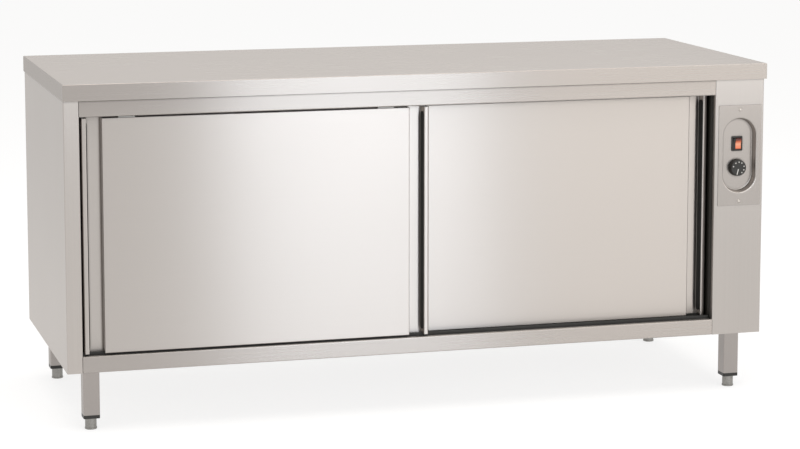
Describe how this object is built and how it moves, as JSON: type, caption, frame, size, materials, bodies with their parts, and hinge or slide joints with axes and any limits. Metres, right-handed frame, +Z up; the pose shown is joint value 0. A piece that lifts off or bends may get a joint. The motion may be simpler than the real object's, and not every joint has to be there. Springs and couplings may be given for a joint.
{
  "type": "plate warmer cabinet",
  "caption": "Low heated cupboard in stainless sheet with a flat worktop, sliding doors with recessed grips, a recessed control panel and levelling feet.",
  "frame": {"origin": "on the floor, under the middle of the worktop", "axes": "+X to the right along the doors, +Y to the back, +Z up"},
  "size_m": [1.8, 0.7, 0.85],
  "materials": {
    "brushed_stainless": "brushed along the panels' length, satin",
    "liner_stainless": "mill finish, dull",
    "core_board": "raw particle board",
    "mineral_wool": "fibrous",
    "black_rubber": "matt",
    "zinc_plated_steel": "zinc plated, satin",
    "turned_steel": "turned",
    "pale_nylon": "matt",
    "black_plastic": "satin",
    "amber_plastic": "gloss, lit from behind",
    "copper_alloy": "plain",
    "heater_sheath": "dull, heat-tinted",
    "wire_jacket": "matt"
  },
  "bodies": {
    "cabinet": {"worktop": "brushed_stainless", "worktop_core": "core_board", "left_side_panel": "brushed_stainless", "right_side_panel": "brushed_stainless", "back_panel": "brushed_stainless", "bottom_panel": "brushed_stainless", "top_rail": "brushed_stainless", "bottom_rail": "brushed_stainless", "inner_left_wall": "liner_stainless", "inner_back_wall": "liner_stainless", "inner_roof": "liner_stainless", "inner_floor": "liner_stainless", "heater_partition": "liner_stainless", "insulation": "mineral_wool", "door_track": "zinc_plated_steel", "door_guide_rail": "black_plastic", "shelf_uprights": "zinc_plated_steel", "shelf_clips": "zinc_plated_steel", "front_left_leg": "brushed_stainless", "front_right_leg": "brushed_stainless", "rear_left_leg": "brushed_stainless", "rear_right_leg": "brushed_stainless", "leg_inserts": "black_plastic", "control_plate": "brushed_stainless", "control_screws": "zinc_plated_steel", "switch_body": "black_plastic", "thermostat_body": "zinc_plated_steel", "thermostat_probe": "copper_alloy", "fan_bracket": "zinc_plated_steel", "fan_motor": "zinc_plated_steel", "heater_element": "heater_sheath", "terminal_block": "pale_nylon", "wiring_loom": "wire_jacket", "cable_gland": "black_plastic"},
    "left_door": {"left_door_face": "brushed_stainless", "left_door_back": "brushed_stainless", "left_door_core": "mineral_wool", "left_door_grips": "brushed_stainless", "left_door_grip_strips": "black_rubber", "left_door_hangers": "zinc_plated_steel", "left_door_shoes": "pale_nylon"},
    "left_door_left_roller": {"left_door_left_roller": "pale_nylon"},
    "left_door_right_roller": {"left_door_right_roller": "pale_nylon"},
    "right_door": {"right_door_face": "brushed_stainless", "right_door_back": "brushed_stainless", "right_door_core": "mineral_wool", "right_door_grips": "brushed_stainless", "right_door_grip_strips": "black_rubber", "right_door_hangers": "zinc_plated_steel", "right_door_shoes": "pale_nylon"},
    "right_door_left_roller": {"right_door_left_roller": "pale_nylon"},
    "right_door_right_roller": {"right_door_right_roller": "pale_nylon"},
    "front_left_foot": {"front_left_foot": "turned_steel"},
    "front_right_foot": {"front_right_foot": "turned_steel"},
    "rear_left_foot": {"rear_left_foot": "turned_steel"},
    "rear_right_foot": {"rear_right_foot": "turned_steel"},
    "shelf": {"shelf": "liner_stainless"},
    "switch_rocker": {"switch_rocker": "amber_plastic"},
    "thermostat_knob": {"thermostat_knob": "black_plastic"},
    "fan": {"fan_impeller": "zinc_plated_steel"}
  },
  "joints": [
    {"name": "left_door_slide", "type": "slide", "parent": "cabinet", "child": "left_door", "axis": [1, 0, 0], "range_m": [0, 0.753]},
    {"name": "right_door_slide", "type": "slide", "parent": "cabinet", "child": "right_door", "axis": [-1, 0, 0], "range_m": [0, 0.753]},
    {"name": "left_door_left_roller_spin", "type": "hinge", "parent": "left_door", "child": "left_door_left_roller", "pos_m": [-0.745, -0.324, 0.7913], "axis": [0, 1, 0], "range_deg": [-5, 3950]},
    {"name": "left_door_right_roller_spin", "type": "hinge", "parent": "left_door", "child": "left_door_right_roller", "pos_m": [-0.103, -0.324, 0.7913], "axis": [0, 1, 0], "range_deg": [-5, 3950]},
    {"name": "right_door_left_roller_spin", "type": "hinge", "parent": "right_door", "child": "right_door_left_roller", "pos_m": [0.008, -0.292, 0.7913], "axis": [0, -1, 0], "range_deg": [-5, 3950]},
    {"name": "right_door_right_roller_spin", "type": "hinge", "parent": "right_door", "child": "right_door_right_roller", "pos_m": [0.65, -0.292, 0.7913], "axis": [0, -1, 0], "range_deg": [-5, 3950]},
    {"name": "switch_rocker_tilt", "type": "hinge", "parent": "cabinet", "child": "switch_rocker", "pos_m": [0.833, -0.319, 0.642], "axis": [-1, 0, 0], "range_deg": [0, 20]},
    {"name": "thermostat_knob_turn", "type": "hinge", "parent": "cabinet", "child": "thermostat_knob", "pos_m": [0.833, -0.32, 0.5805], "axis": [0, 1, 0], "range_deg": [0, 270]},
    {"name": "fan_spin", "type": "hinge", "parent": "cabinet", "child": "fan", "pos_m": [0.785, 0.02, 0.34], "axis": [1, 0, 0], "continuous": true},
    {"name": "shelf_lift", "type": "slide", "parent": "cabinet", "child": "shelf", "axis": [0, 0, 1], "range_m": [0, 0.06]},
    {"name": "front_left_foot_height", "type": "slide", "parent": "cabinet", "child": "front_left_foot", "axis": [0, 0, -1], "range_m": [0, 0.03]},
    {"name": "front_right_foot_height", "type": "slide", "parent": "cabinet", "child": "front_right_foot", "axis": [0, 0, -1], "range_m": [0, 0.03]},
    {"name": "rear_left_foot_height", "type": "slide", "parent": "cabinet", "child": "rear_left_foot", "axis": [0, 0, -1], "range_m": [0, 0.03]},
    {"name": "rear_right_foot_height", "type": "slide", "parent": "cabinet", "child": "rear_right_foot", "axis": [0, 0, -1], "range_m": [0, 0.03]}
  ],
  "couplings": [
    {"joint": "left_door_left_roller_spin", "follows": "left_door_slide", "rad_per_m": 90.909},
    {"joint": "left_door_right_roller_spin", "follows": "left_door_slide", "rad_per_m": 90.909},
    {"joint": "right_door_left_roller_spin", "follows": "right_door_slide", "rad_per_m": 90.909},
    {"joint": "right_door_right_roller_spin", "follows": "right_door_slide", "rad_per_m": 90.909}
  ]
}
